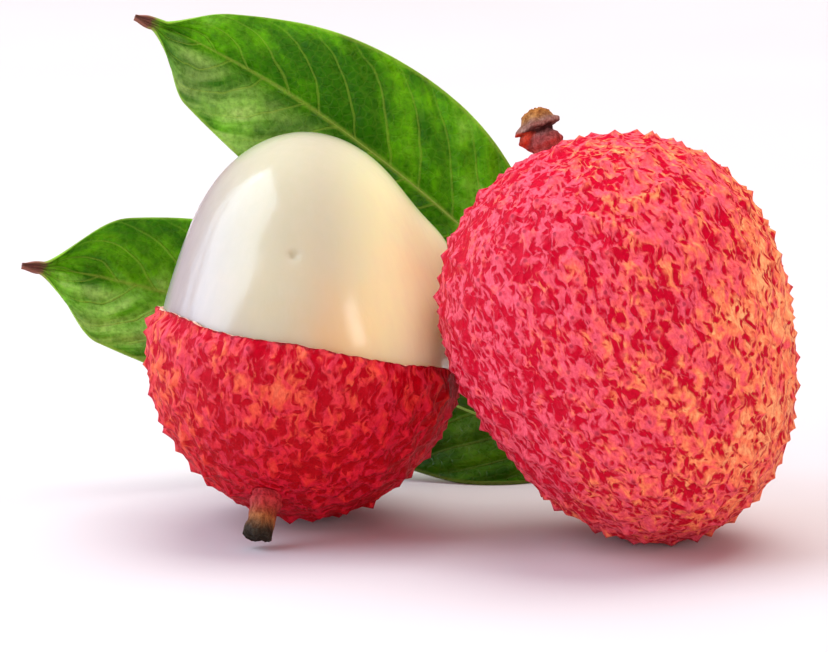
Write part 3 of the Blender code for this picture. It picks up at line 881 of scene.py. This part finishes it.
def bumpy_skin_tree():
    """Geometry nodes: divides the bump net and raises pointed bumps and the ridges between them.

    Each point keeps its first place, its nearness to a tip and to a ridge for the finish.
    """
    bench, given = start_group("Bumpy skin", "GeometryNodeTree", {
        "Geometry": GEOMETRY, "Fineness": 2, "Bump width": 1.0 * MM, "Ridge height": 0.3 * MM,
        "Grain height": 0.1 * MM, "Seed": 1.0, "Material": MATERIAL})
    line = bench.stored("ridge")
    is_peak = bench.add("FunctionNodeCompare", {0: line, 1: 0.5}, data_type="FLOAT",
                        operation="GREATER_THAN")
    net = given["Geometry"]
    peaks = bench.add("GeometryNodeMeshToPoints", {"Mesh": net, "Selection": is_peak})
    divided = bench.add("GeometryNodeSubdivideMesh", {"Mesh": net, "Level": given["Fineness"]})
    here = bench.add("GeometryNodeInputPosition")
    near = bench.add("GeometryNodeProximity", {0: peaks, 2: here}, target_element="POINTS")
    nearest = bench.add("GeometryNodeSampleNearest", {0: peaks, 1: here}, domain="POINT")
    lift = bench.add("GeometryNodeSampleIndex", {0: peaks, 1: bench.stored("lift"), 2: nearest},
                     data_type="FLOAT", domain="POINT")
    tip = 1.0 - near["Distance"].work("DIVIDE", given["Bump width"]).clamped()
    spot = here * (1.0 / MM) + bench.add("ShaderNodeCombineXYZ", {0: given["Seed"]})
    ridge = line ** RIDGE_POINT * spot.noise(0.65).span(0.30, 0.62) * given["Ridge height"]
    ridge = ridge.work("MINIMUM", lift * RIDGE_LIMIT)
    raised = (lift * tip ** BUMP_POINT).work("SMOOTH_MAX", ridge, BUMP_BLEND * MM)
    raised = raised + (spot.noise(1.1, 3.0, 0.6) - 0.5) * given["Grain height"]
    sway = (spot.noise(0.55, 1.0)["Color"] - MIDDLE) * (tip ** 2.0 * (BUMP_SWAY * MM))
    kept = divided
    for name, data_type, value in (("skin_place", "FLOAT_VECTOR", spot), ("skin_tip", "FLOAT", tip),
                                   ("skin_line", "FLOAT", line)):
        kept = bench.add("GeometryNodeStoreNamedAttribute",
                         {"Geometry": kept, "Name": name, "Value": value},
                         data_type=data_type, domain="POINT")
    return finished_tree(bench, given, kept, here.work("NORMALIZE") * raised + sway)


def path_rod_tree():
    """Geometry nodes: rods along paths, as thick as their stored radius, and a little knobbly."""
    bench, given = start_group("Path rods", "GeometryNodeTree", {
        "Geometry": GEOMETRY, "Sides": 12, "Knob height": 0.0, "Knob scale": 1.0,
        "Material": MATERIAL})
    curve = bench.add("GeometryNodeMeshToCurve", {"Mesh": given["Geometry"]})
    ring = bench.add("GeometryNodeCurvePrimitiveCircle",
                     {"Resolution": given["Sides"], "Radius": 1.0}, mode="RADIUS")
    rod = bench.add("GeometryNodeCurveToMesh", {
        "Curve": curve, "Profile Curve": ring, "Scale": bench.stored("rod_radius"),
        "Fill Caps": True})
    place = bench.add("GeometryNodeInputPosition") * (1.0 / MM)
    knobs = (place.noise(given["Knob scale"], 3.0) - 0.5) * given["Knob height"]
    return finished_tree(bench, given, rod, bench.add("GeometryNodeInputNormal") * knobs)


def finished_tree(bench, given, geometry, offset):
    """The end of a tree: the points move by the offset, and the mesh takes its material."""
    moved = bench.add("GeometryNodeSetPosition", {"Geometry": geometry, "Offset": offset})
    smooth = bench.add("GeometryNodeSetShadeSmooth", {"Geometry": moved})
    real = bench.add("GeometryNodeRealizeInstances", {"Geometry": smooth})
    done = bench.add("GeometryNodeSetMaterial", {"Geometry": real, "Material": given["Material"]})
    return bench.give({"Geometry": done})


def bumpy_skin(outline, count, height, stalk_direction, seed, matrix, finish):
    """A fruit's closed bumpy skin in its place, never below the floor."""
    settings = bpy.context.scene.lychee_rind
    source = add_object("bump_net", bump_net(outline, count, height, stalk_direction, seed))
    give_nodes(source, tree_named("Bumpy skin", bumpy_skin_tree), {
        "Fineness": settings.fineness, "Bump width": settings.bump_width,
        "Ridge height": settings.ridge_height, "Grain height": settings.grain_height,
        "Seed": float(seed), "Material": finish})
    mesh = settled_mesh(source)
    mesh.transform(matrix)
    for vert in mesh.vertices:
        vert.co.z = max(vert.co.z, 0.0)
    return mesh


def smooth_fruit(extra, segments, hollow_depth=0.0):
    """The flesh's round closed form with its high shoulder, soft hollows and dimple."""
    turn = placed((0.0, 0.0, 0.0), -lean_direction(PEELED_LEAN)).to_3x3()
    shoulder = lean_direction(SHOULDER_LEAN)
    dimple = Vector(DIMPLE_DIRECTION).normalized()
    bm = bmesh.new()
    bmesh.ops.create_uvsphere(bm, u_segments=segments[0], v_segments=segments[1], radius=1.0)
    for vert in bm.verts:
        direction = vert.co.normalized()
        facing = turn @ direction
        away = math.degrees(facing.angle(shoulder)) / SHOULDER_SPREAD
        near = math.degrees(facing.angle(dimple)) / DIMPLE_SPREAD
        size = extra + SHOULDER_HEIGHT * math.exp(-away * away)
        if hollow_depth:
            size += hollow_depth * noise.noise(direction * FLESH_OUTLINE[0] / FLESH_HOLLOW_GRAIN)
            size -= DIMPLE_DEPTH * math.exp(-near * near)
            for middle, height, spread in FLESH_SWELLS:
                far = math.degrees(facing.angle(Vector(middle))) / spread
                size += height * math.exp(-far * far)
        angle = math.acos(min(max(direction.z, -1.0), 1.0))
        vert.co = direction * (outline_radius(FLESH_OUTLINE, angle) + size * MM)
    return mesh_from(bm, "smooth_fruit")


def rim_wave(turn):
    """How far the torn rim stands above its mean height, in millimetres, at a turn round it."""
    wave = 0.0
    for lobes, size, start in RIM_WAVES:
        wave += size * math.sin(lobes * turn + math.radians(start))
    round_rim = Vector((math.cos(turn), math.sin(turn), 0.0)) * RIM_RADIUS / RIM_TEAR_GRAIN
    return wave + RIM_TEAR * noise.fractal(round_rim, 1.0, 2.0, 3)


def thin_rim(mesh):
    """Draws the skin in towards the flesh as it nears the torn rim."""
    rim_frame = placed(PEELED_CENTRE, lean_direction(RIM_LEAN))
    back = rim_frame.inverted()
    for vert in mesh.vertices:
        place = back @ vert.co
        below = rim_wave(math.atan2(place.y, place.x)) - place.z / MM
        inward = RIM_THINNING * MM * smooth_step(RIM_THINNING_REACH, 0.0, below)
        vert.co -= (vert.co - Vector(PEELED_CENTRE) * MM).normalized() * inward


def peel_guide_mesh():
    """A round block above the torn rim. Its lower side is waved round the fruit and finely torn."""
    bm = bmesh.new()
    radius = PEEL_GUIDE_RADIUS * MM
    bmesh.ops.create_cone(bm, cap_ends=True, cap_tris=True, segments=PEEL_GUIDE_SEGMENTS,
                          radius1=radius, radius2=radius, depth=PEEL_GUIDE_HEIGHT * MM)
    bmesh.ops.translate(bm, verts=bm.verts[:], vec=(0.0, 0.0, PEEL_GUIDE_HEIGHT * MM / 2.0))
    for vert in bm.verts:
        if vert.co.z < MM and vert.co.xy.length > MM:
            wave = rim_wave(math.atan2(vert.co.y, vert.co.x)) * MM
            vert.co.z = wave * PEEL_GUIDE_RADIUS / RIM_RADIUS
    return mesh_from(bm, "peel_guide")


def cut_away(target, mesh, finish_number):
    """Cuts a closed mesh out of an object. The cut faces take the material of that number."""
    mesh.polygons.foreach_set("material_index", [finish_number] * len(mesh.polygons))
    guide = add_object("cutter", mesh, *target.data.materials)
    cutter = target.modifiers.new("Cut", "BOOLEAN")
    cutter.object = guide
    cutter.operation = "DIFFERENCE"
    cutter.solver = "MANIFOLD"
    name = target.name
    target.name = "uncut"
    cut_mesh = settled_mesh(target)
    bpy.data.objects.remove(guide)
    return add_object(name, cut_mesh)


def curve_point(ends, along):
    """The point on the smooth curve through a list of points, with one more point at each end."""
    span = min(int(along), len(ends) - 4)
    a, b, c, d = ends[span:span + 4]
    t = along - span
    slope = (c - a) * t
    bend = (2.0 * a - 5.0 * b + 4.0 * c - d) * t ** 2
    twist = (3.0 * b - a - 3.0 * c + d) * t ** 3
    return 0.5 * (2.0 * b + slope + bend + twist)


def smooth_path(places, steps):
    """Evenly spaced points on the smooth curve through the given places, in metres."""
    points = [(Vector(place) + Vector(BUNCH_SHIFT)) * MM for place in places]
    ends = [points[0] * 2.0 - points[1], *points, points[-1] * 2.0 - points[-2]]
    fine = PATH_FINENESS * (len(points) - 1)
    dense = [curve_point(ends, index * (len(points) - 1) / fine) for index in range(fine + 1)]
    reached = [0.0]
    for low, high in zip(dense, dense[1:]):
        reached.append(reached[-1] + (high - low).length)
    path = []
    index = 0
    for step in range(steps + 1):
        wanted = reached[-1] * step / steps
        while index < fine - 1 and reached[index + 1] < wanted:
            index += 1
        share = (wanted - reached[index]) / (reached[index + 1] - reached[index])
        path.append(dense[index].lerp(dense[index + 1], share))
    return path


def rods_mesh(paths, sides, knob_height, knob_scale, finish):
    """Round rods along (path, first radius, last radius) in metres, as one mesh."""
    bm = bmesh.new()
    radius_layer = bm.verts.layers.float.new("rod_radius")
    share_layer = bm.verts.layers.float.new("rod_share")
    for path, first, last in paths:
        before = None
        for step, place in enumerate(path):
            share = step / (len(path) - 1)
            vert = bm.verts.new(place)
            vert[radius_layer] = first + (last - first) * share
            vert[share_layer] = share
            if before:
                bm.edges.new((before, vert))
            before = vert
    source = add_object("rod_paths", plain_mesh(bm, "rod_paths"))
    give_nodes(source, tree_named("Path rods", path_rod_tree), {
        "Sides": sides, "Knob height": knob_height, "Knob scale": knob_scale, "Material": finish})
    return settled_mesh(source)


def half_width(share, width, fullness):
    """Half the blade's width at a share of the way from its tip to its base."""
    swell = max(math.sin(math.pi * share ** WIDEST_SHIFT), 0.0) ** fullness
    drawn_out = smooth_step(0.0, TIP_SHARE, share)
    grown = smooth_step(0.0, LEAF_POINT_REACH, share)
    end = LEAF_END_WIDTH * (LEAF_POINT_SHARE + (1.0 - LEAF_POINT_SHARE) * grown)
    return max(width * swell * drawn_out, end) * MM


def vein_swell(share, out):
    """How much the blade stands up between two side veins."""
    turns = (share + out * (VEIN_LEAN[0] + VEIN_LEAN[1] * out)) * SIDE_VEINS
    return abs(math.sin(math.pi * turns)) * smooth_step(0.0, 0.25, out) * smooth_step(1.0, 0.8, out)


def leaf_point(leaf, path, station, column):
    """A point of the blade: folded along the midrib, arched, waved and swollen between veins."""
    share = station / LEAF_STATIONS
    facing = Vector(LEAF_FACING).normalized()
    ahead = path[min(station + SLOPE_STATIONS, LEAF_STATIONS)]
    across = facing.cross(ahead - path[max(station - SLOPE_STATIONS, 0)]).normalized()
    across *= math.copysign(1.0, across.z)
    side = 0 if column > 0 else 1
    out = abs(column) / LEAF_COLUMNS
    width = half_width(share, leaf["widths"][side], leaf["fullness"][side])
    strength = min(width / (FULL_FOLD_WIDTH * MM), 1.0)
    angle = math.radians(leaf["fold"][side]) * strength
    wave = out ** 2 * math.sin(2.0 * math.pi * LEAF_WAVES * share + side)
    arch = out * (1.0 - out) * strength
    reach = math.copysign(out * width * math.cos(angle), column)
    swell = VEIN_SWELL * vein_swell(share, out) * strength
    lift = out * width * math.sin(angle) + (LEAF_ARCH * arch + LEAF_WAVE * wave + swell) * MM
    place = path[station] + reach * across + lift * facing
    below = max(LEAF_FLOOR * MM - place.z, 0.0)
    return place + Vector((0.0, -below, below))


def blade_mesh(leaf, path):
    """The blade's middle surface, with a map that runs from tip to base and from edge to edge."""
    bm = bmesh.new()
    bmesh.ops.create_grid(bm, x_segments=LEAF_STATIONS, y_segments=2 * LEAF_COLUMNS, size=1.0)
    leaf_map = bm.loops.layers.uv.new("leaf_map")
    for face in bm.faces:
        for loop in face.loops:
            loop[leaf_map].uv = ((loop.vert.co.x + 1.0) / 2.0, (loop.vert.co.y + 1.0) / 2.0)
    for vert in bm.verts:
        station = round((vert.co.x + 1.0) / 2.0 * LEAF_STATIONS)
        column = round(vert.co.y * LEAF_COLUMNS)
        vert.co = leaf_point(leaf, path, station, column)
    bmesh.ops.recalc_face_normals(bm, faces=bm.faces[:])
    if sum((face.normal.dot(Vector(LEAF_FACING)) for face in bm.faces)) < 0.0:
        bmesh.ops.reverse_faces(bm, faces=bm.faces[:])
    return plain_mesh(bm, "blade")


def joined(name, *meshes):
    """One object from several meshes, which keeps each one's materials."""
    parts = [add_object(name, mesh) for mesh in meshes]
    with bpy.context.temp_override(active_object=parts[0], object=parts[0], selected_objects=parts,
                                   selected_editable_objects=parts):
        bpy.ops.object.join()
    parts[0].name = name
    return parts[0]


def add_leaf(name, node, leaf, blade, underside, rib):
    """A leaf: a thin blade with a paler underside, and its raised midrib."""
    path = smooth_path(leaf["midrib"], LEAF_STATIONS)
    source = add_object(name, blade_mesh(leaf, path), blade, underside)
    wall = source.modifiers.new("Thickness", "SOLIDIFY")
    wall.thickness = bpy.context.scene.lychee_leaf.thickness
    wall.offset = 0.0
    wall.material_offset = 1
    blades = settled_mesh(source)
    tip_radius, base_radius = (radius * MM for radius in MIDRIB_RADII)
    ribs = rods_mesh([(path, tip_radius, base_radius)], RIB_SIDES, 0.0, 1.0, rib)
    hand_over(joined(name, blades, ribs), node)


def profile_radius(profile, height):
    """The radius of a turned profile at a height, both in millimetres."""
    for (low_radius, low), (high_radius, high) in zip(profile, profile[1:]):
        if height <= high:
            return low_radius + (high_radius - low_radius) * smooth_step(low, high, height)
    return profile[-1][0]


def unevenness(outward, height, shift, kind):
    """Noise round a stalk and up it, for a kind of unevenness."""
    around, up, size = kind
    return size * noise.noise(outward * around + Vector(shift) + Vector((0.0, 0.0, height * up)))


def lump_size(lumps, turn, height, radius):
    """How far a stalk's lumps stand out at a turn and a height."""
    size = 0.0
    for lump_turn, lump_height, spread, most in lumps:
        off = math.remainder(turn - math.radians(lump_turn), 2.0 * math.pi) * radius
        away = math.hypot(off, height - lump_height) / spread
        size += most * math.exp(-away * away)
    return size


def stub_mesh(profile, seed, lumps):
    """A broken stalk from its foot inside the rind to its splintered end."""
    top = profile[-1][1]
    bm = bmesh.new()
    height_layer = bm.verts.layers.float.new("stalk_height")
    lump_layer = bm.verts.layers.float.new("stalk_lump")
    rings = []
    for ring in range(STALK_RINGS + 1):
        height = -STALK_SINK + (top + STALK_SINK) * ring / STALK_RINGS
        share = max(height, 0.0) / top
        row = []
        for step in range(STALK_AROUND):
            turn = 2.0 * math.pi * step / STALK_AROUND
            outward = Vector((math.cos(turn), math.sin(turn), 0.0))
            warp = share * unevenness(outward, height, (seed, 0.0, 0.0), STALK_WARP)
            flutes = unevenness(outward, height, (0.0, seed, 0.0), STALK_FLUTES)
            rise = share * unevenness(outward, height, (seed + 7.0, 0.0, 0.0), BREAK_WARP)
            radius = profile_radius(profile, max(height, 0.0)) * (1.0 + warp + flutes)
            lump = lump_size(lumps, turn, height, radius)
            place = outward * (radius + lump) + Vector((0.0, 0.0, height + rise))
            vert = bm.verts.new(place * MM)
            vert[height_layer] = share
            vert[lump_layer] = min(lump, 1.0)
            row.append(vert)
        rings.append(row)
    for inset in range(1, SPLINTER_RINGS):
        row = []
        for rim in rings[STALK_RINGS]:
            place = rim.co * (1.0 - inset / SPLINTER_RINGS)
            grain = place / MM * SPLINTER_GRAIN + Vector((seed, 3.0, 0.0))
            place.z = rim.co.z + SPLINTER_HEIGHT * MM * noise.noise(grain)
            vert = bm.verts.new(place)
            vert[height_layer] = 1.0 + BREAK_SHARE * inset / SPLINTER_RINGS
            row.append(vert)
        rings.append(row)
    for low, high in zip(rings, rings[1:]):
        for step in range(STALK_AROUND):
            after = (step + 1) % STALK_AROUND
            bm.faces.new((low[step], low[after], high[after], high[step]))
    for row, share in ((rings[0], 0.0), (rings[-1], 1.0 + BREAK_SHARE)):
        middle = bm.verts.new(sum((vert.co for vert in row), Vector()) / STALK_AROUND)
        middle[height_layer] = share
        for step in range(STALK_AROUND):
            bm.faces.new((middle, row[step], row[(step + 1) % STALK_AROUND]))
    return mesh_from(bm, "stub")


def stand(mesh, centre, direction, axis, outline):
    """Stands a stub's mesh on a fruit's outline, which is measured round the fruit's axis."""
    foot = outline_radius(outline, direction.angle(axis))
    mesh.transform(placed(Vector(centre) + direction * foot / MM, direction))


class LYCHEE_OT_whole_fruit(bpy.types.Operator):
    """Build the whole lychee's bumpy skin"""

    bl_idname = "lychee.whole_fruit"
    bl_label = "Whole fruit"

    def execute(self, context):
        matrix = placed(WHOLE_CENTRE, lean_direction(WHOLE_LEAN))
        finish = rind_material("lychee_rind_whole", WHOLE_LOOKS, matrix)
        height = context.scene.lychee_rind.whole_bump_height
        mesh = bumpy_skin(WHOLE_OUTLINE, WHOLE_BUMPS, height, Vector((0.0, 0.0, 1.0)), WHOLE_SEED,
                          matrix, finish)
        hand_over(add_object("whole_fruit_skin", mesh), "whole_fruit")
        return {"FINISHED"}


class LYCHEE_OT_peeled_fruit(bpy.types.Operator):
    """Build the half-peeled lychee: its torn cup of rind and its flesh"""

    bl_idname = "lychee.peeled_fruit"
    bl_label = "Peeled fruit"

    def execute(self, context):
        height = context.scene.lychee_rind.peeled_bump_height
        matrix = placed(PEELED_CENTRE, -lean_direction(PEELED_LEAN))
        stalk = (matrix.to_3x3().inverted() @ -lean_direction(PEELED_STALK_LEAN)).normalized()
        finish = rind_material("lychee_rind_peeled", PEELED_LOOKS, matrix)
        mesh = bumpy_skin(wider(FLESH_OUTLINE, CAVITY_GAP + RIND_WALL + height / MM), PEELED_BUMPS,
                          height, stalk, PEELED_SEED, matrix, finish)
        thin_rim(mesh)
        cup = add_object("peeled_rind_cup", mesh, pith_material())
        for cutter, place in ((smooth_fruit(SHOWN_GAP, CAVITY_SEGMENTS), matrix),
                              (peel_guide_mesh(), placed(PEELED_CENTRE, lean_direction(RIM_LEAN)))):
            cutter.transform(place)
            cup = cut_away(cup, cutter, finish_number=1)
        hand_over(cup, "peeled_rind")
        flesh = smooth_fruit(0.0, FLESH_SEGMENTS, FLESH_HOLLOW_DEPTH)
        flesh.transform(matrix)
        hand_over(add_object("peeled_flesh_body", flesh, flesh_material()), "peeled_flesh")
        return {"FINISHED"}


class LYCHEE_OT_stalks(bpy.types.Operator):
    """Build the two broken stalks"""

    bl_idname = "lychee.stalks"
    bl_label = "Stalks"

    def execute(self, context):
        axis = lean_direction(WHOLE_LEAN)
        bump_height = context.scene.lychee_rind.whole_bump_height / MM
        mesh = stub_mesh(WHOLE_STALK, WHOLE_STALK_SEED, WHOLE_STALK_LUMPS)
        stand(mesh, WHOLE_CENTRE, axis, axis, wider(WHOLE_OUTLINE, STALK_GAP - bump_height))
        finish = stalk_material("stalk_whole", WHOLE_STALK_BANDS)
        hand_over(add_object("whole_fruit_stalk", mesh, finish), "whole_stalk")
        mesh = stub_mesh(PEELED_STALK, PEELED_STALK_SEED, PEELED_STALK_LUMPS)
        stand(mesh, PEELED_CENTRE, -lean_direction(PEELED_STALK_LEAN), -lean_direction(PEELED_LEAN),
              wider(FLESH_OUTLINE, CAVITY_GAP + RIND_WALL + STALK_GAP))
        finish = stalk_material("stalk_peeled", PEELED_STALK_BANDS)
        hand_over(add_object("peeled_fruit_stalk", mesh, finish), "peeled_stalk")
        return {"FINISHED"}


class LYCHEE_OT_leaves(bpy.types.Operator):
    """Build the two leaves and their common stalk"""

    bl_idname = "lychee.leaves"
    bl_label = "Leaves"

    def execute(self, context):
        blade = blade_material("leaf_upper_side", True)
        # The lower leaf's blade has painted shade towards its base.
        shaded_blade = blade_material("leaf_older_side", True, SHADED_LEAF_BASE)
        underside = blade_material("leaf_underside", False)
        rib = rib_material()
        add_leaf("upper_leaf", "leaf_upper", UPPER_LEAF, blade, underside, rib)
        add_leaf("lower_leaf", "leaf_lower", LOWER_LEAF, shaded_blade, underside, rib)
        knob_height, knob_scale = TWIG_KNOBS
        paths = [(smooth_path(places, TWIG_STEPS), first * MM, last * MM)
                 for places, first, last in LEAF_STALK_TWIGS]
        mesh = rods_mesh(paths, TWIG_SIDES, knob_height * MM, knob_scale,
                         stalk_material("stalk_leaves", TWIG_BANDS))
        hand_over(add_object("leaf_twigs", mesh), "leaf_stalk")
        return {"FINISHED"}


class LYCHEE_OT_stage(bpy.types.Operator):
    """Set up the pale floor, the soft lights and the camera"""

    bl_idname = "lychee.stage"
    bl_label = "Studio"

    def execute(self, context):
        settings = context.scene.lychee_stage
        bm = bmesh.new()
        bmesh.ops.create_grid(bm, x_segments=8, y_segments=8, size=FLOOR_SIZE * MM / 2.0)
        floor = add_object("studio_floor", mesh_from(bm, "studio_floor"), floor_material())
        floor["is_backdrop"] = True
        world = bpy.data.worlds.new("studio")
        world.use_nodes = True
        backdrop = world.node_tree.nodes["Background"]
        backdrop.inputs["Color"].default_value = DAYLIGHT_COLOUR
        backdrop.inputs["Strength"].default_value = settings.daylight
        context.scene.world = world
        for name, light in LIGHTS.items():
            self.add_light(name, settings, *light)
        self.add_camera(context.scene, settings)
        context.scene.view_settings.view_transform = "Standard"
        return {"FINISHED"}

    def add_light(self, name, settings, place, target, size, power, share, tint, mirrored):
        """A soft rectangular light that faces its target."""
        data = bpy.data.lights.new(name, "AREA")
        data.shape = "RECTANGLE"
        data.size, data.size_y = (side * MM for side in size)
        data.energy = share * getattr(settings, power)
        data.color = tint
        light = add_object(name, data)
        aim = Vector(target) - Vector(place)
        light.location = Vector(place) * MM
        light.rotation_euler = aim.to_track_quat("-Z", "Y").to_euler()
        light.visible_glossy = mirrored

    def add_camera(self, scene, settings):
        back = Vector((0.0, -math.cos(settings.elevation), math.sin(settings.elevation)))
        level_up = Vector((0.0, math.sin(settings.elevation), math.cos(settings.elevation)))
        level_right = Vector((1.0, 0.0, 0.0))
        right = math.cos(settings.roll) * level_right - math.sin(settings.roll) * level_up
        up = math.sin(settings.roll) * level_right + math.cos(settings.roll) * level_up
        turn = Matrix((right, up, back)).transposed().to_4x4()
        data = bpy.data.cameras.new("camera")
        data.lens = settings.lens
        data.clip_start = CLIP_START * MM
        camera = add_object("camera", data)
        place = Vector(VIEW_TARGET) * MM + settings.distance * back
        camera.matrix_world = Matrix.Translation(place) @ turn
        scene.camera = camera


class LYCHEE_PT_panel(bpy.types.Panel):
    """Lists the steps of the bunch and their settings"""

    bl_label = "Lychee bunch"
    bl_idname = "LYCHEE_PT_panel"
    bl_space_type = "VIEW_3D"
    bl_region_type = "UI"
    bl_category = "Lychees"

    def draw(self, context):
        for settings, steps in (
            (context.scene.lychee_rind, ("lychee.whole_fruit",)),
            (context.scene.lychee_flesh, ("lychee.peeled_fruit",)),
            (context.scene.lychee_leaf, ("lychee.stalks", "lychee.leaves")),
            (context.scene.lychee_stage, ("lychee.stage",)),
        ):
            box = self.layout.box()
            for name in settings.__annotations__:
                box.prop(settings, name)
            for step in steps:
                box.operator(step)


CLASSES = (
    LycheeRindSettings, LycheeFleshSettings, LycheeLeafSettings, LycheeStageSettings,
    LYCHEE_OT_whole_fruit, LYCHEE_OT_peeled_fruit, LYCHEE_OT_stalks, LYCHEE_OT_leaves,
    LYCHEE_OT_stage, LYCHEE_PT_panel,
)
SETTINGS = {
    "lychee_rind": LycheeRindSettings, "lychee_flesh": LycheeFleshSettings,
    "lychee_leaf": LycheeLeafSettings, "lychee_stage": LycheeStageSettings,
}


def register():
    for made in CLASSES:
        bpy.utils.register_class(made)
    for name, settings in SETTINGS.items():
        setattr(bpy.types.Scene, name, PointerProperty(type=settings))


def unregister():
    for name in SETTINGS:
        delattr(bpy.types.Scene, name)
    for made in reversed(CLASSES):
        bpy.utils.unregister_class(made)


def main():
    cad_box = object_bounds()
    register()
    bpy.ops.lychee.stage()
    bpy.ops.lychee.whole_fruit()
    bpy.ops.lychee.peeled_fruit()
    bpy.ops.lychee.stalks()
    bpy.ops.lychee.leaves()
    boxes = {"cad": cad_box, "visual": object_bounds()}
    {name: [list(corner) for corner in box] for name, box in boxes.items()}


if __name__ == "__main__":
    main()
